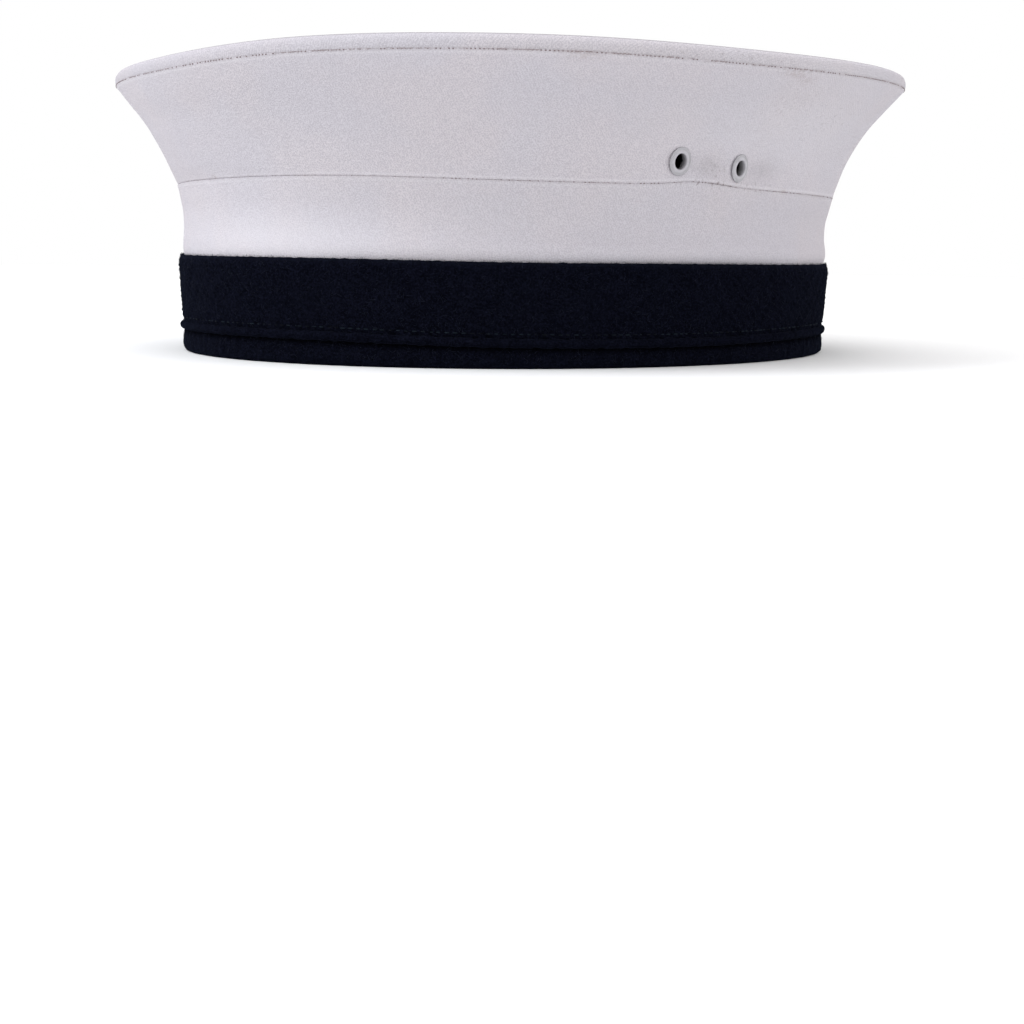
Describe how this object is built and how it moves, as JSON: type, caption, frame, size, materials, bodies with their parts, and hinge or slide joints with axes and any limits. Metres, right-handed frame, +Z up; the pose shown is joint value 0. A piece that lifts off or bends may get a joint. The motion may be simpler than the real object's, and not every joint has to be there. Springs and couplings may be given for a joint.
{
  "type": "sailor cap",
  "caption": "Soft cap without a peak: flat white cotton crown on flared sides, over a navy wool band with a piped and folded hem, and vent eyelets at the sides.",
  "frame": {"origin": "centre of the oval that the cap rests on, on the flat underside of the hem", "axes": "+Z up out of the crown, -Y to the front of the cap, -X to the wearer's right"},
  "size_m": [0.2292, 0.2406, 0.0832],
  "materials": {
    "white_cotton": "matt off-white cotton twill with a faint mauve tint",
    "navy_wool": "fuzzy very dark navy melton wool",
    "eyelet_paint": "pale grey, half gloss"
  },
  "bodies": {
    "root": {"crown_top": "white_cotton", "upper_side": "white_cotton", "lower_side": "white_cotton", "band": "navy_wool", "welt": "navy_wool", "hem": "navy_wool", "eyelet_right_rear": "eyelet_paint", "eyelet_right_front": "eyelet_paint", "eyelet_left_rear": "eyelet_paint", "eyelet_left_front": "eyelet_paint"}
  },
  "joints": []
}
